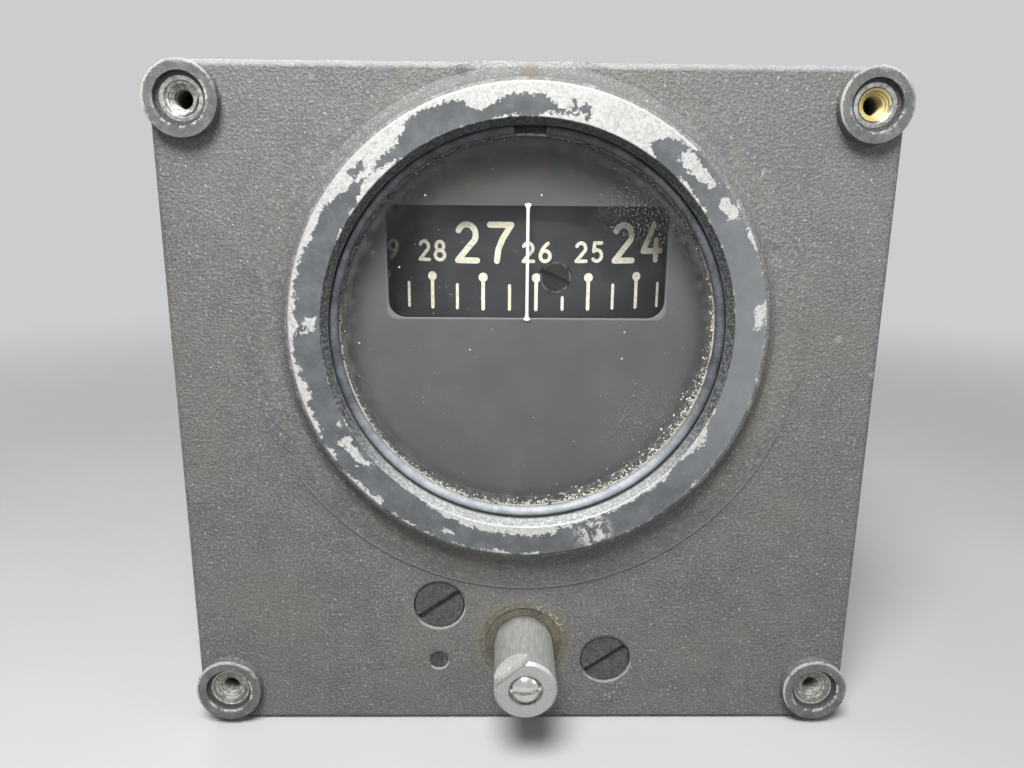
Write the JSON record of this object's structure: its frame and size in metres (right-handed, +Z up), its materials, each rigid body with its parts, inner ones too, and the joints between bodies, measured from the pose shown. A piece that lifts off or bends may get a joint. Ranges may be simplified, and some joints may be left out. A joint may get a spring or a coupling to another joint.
{
  "type": "directional gyro instrument",
  "caption": "Panel gyro heading instrument in a square case with a round glazed window, a turning card drum and a caging shaft.",
  "frame": {"origin": "centre of the four panel holes, on the face of the front plate", "axes": "+X right as the dial is read, +Y into the case, +Z up"},
  "size_m": [0.1232, 0.1544, 0.1196],
  "materials": {
    "case_paint": "dark grey wrinkle paint, worn to bare metal at the edges",
    "cover_paint": "dark grey wrinkle paint",
    "steel": "plain machined steel",
    "blackened_steel": "blackened screw heads",
    "aluminium": "machined aluminium",
    "brass": "machined brass",
    "rotor_metal": "heavy turned brass rotor",
    "glass": "clear flat glass, dusty",
    "rubber": "black rubber gasket",
    "mask_black": "flat black",
    "card_black": "flat black card with cream markings",
    "lubber_white": "white line",
    "felt": "oiled felt packing",
    "filter_felt": "filter pad"
  },
  "bodies": {
    "case": {"case_body": "case_paint", "mounting_inserts": "steel", "glass_snap_ring": "aluminium", "cover_glass": "glass", "glass_gasket": "rubber", "dial_mask": "mask_black", "mask_screws": "blackened_steel", "lubber_line": "lubber_white", "front_screws": "blackened_steel", "front_dowel": "blackened_steel", "caging_bracket": "aluminium", "shaft_bushing": "brass", "shaft_packing": "felt", "rocker_pin": "steel", "rear_cover": "cover_paint", "rear_cover_gasket": "rubber", "rear_cover_screws": "blackened_steel", "filter_pad": "filter_felt", "filter_screen": "brass", "filter_retainer": "aluminium", "port_plug": "brass", "top_bearing_housing": "aluminium", "top_lock_ring": "aluminium", "top_bearing": "steel", "bottom_bearing_housing": "aluminium", "bottom_bearing": "steel", "bottom_housing_screws": "steel", "air_tube": "brass"},
    "heading_gimbal": {"vertical_gimbal": "aluminium", "top_pivot": "steel", "bottom_pivot": "steel", "card_carrier": "aluminium", "carrier_screws": "steel", "card_drum": "card_black", "card_screws": "blackened_steel", "synchronizer_gear": "brass", "gear_screws": "steel", "tilt_bearings": "steel", "tilt_bearing_caps": "brass", "air_nozzles": "brass"},
    "leveller": {"levelling_sleeve": "brass", "levelling_rods": "steel", "levelling_ring": "aluminium"},
    "cradle": {"rotor_gimbal": "aluminium", "tilt_pivots": "steel", "rotor_bearings": "steel", "rotor_bearing_caps": "brass", "balance_nuts": "brass"},
    "spinner": {"rotor": "rotor_metal", "rotor_shaft": "steel"},
    "collar": {"cam_collar": "steel"},
    "knob_shaft": {"caging_shaft": "aluminium", "shaft_end_screw": "steel", "sync_pinion": "brass"},
    "rocker": {"rocker_arm": "steel"}
  },
  "joints": [
    {"name": "card_turn", "type": "hinge", "parent": "case", "child": "heading_gimbal", "pos_m": [0, 0.06, 0], "axis": [0, 0, 1], "continuous": true},
    {"name": "cradle_tilt", "type": "hinge", "parent": "heading_gimbal", "child": "cradle", "pos_m": [0, 0.06, 0], "axis": [1, 0, 0], "range_deg": [-55, 55]},
    {"name": "rotor_spin", "type": "hinge", "parent": "cradle", "child": "spinner", "pos_m": [0, 0.06, 0], "axis": [0, 1, 0], "continuous": true},
    {"name": "knob_push", "type": "slide", "parent": "case", "child": "collar", "axis": [0, 1, 0], "range_m": [0, 0.00635]},
    {"name": "knob_turn", "type": "hinge", "parent": "collar", "child": "knob_shaft", "pos_m": [0, 0, -0.044], "axis": [0, 1, 0], "continuous": true},
    {"name": "rocker_swing", "type": "hinge", "parent": "case", "child": "rocker", "pos_m": [0, 0.038, -0.052], "axis": [1, 0, 0], "range_deg": [0, 7]},
    {"name": "leveller_lift", "type": "slide", "parent": "heading_gimbal", "child": "leveller", "axis": [0, 0, 1], "range_m": [0, 0.0027]}
  ],
  "couplings": [
    {"joint": "rocker_swing", "follows": "knob_push", "rad_per_m": 19.039},
    {"joint": "leveller_lift", "follows": "knob_push", "ratio": 0.4094}
  ]
}
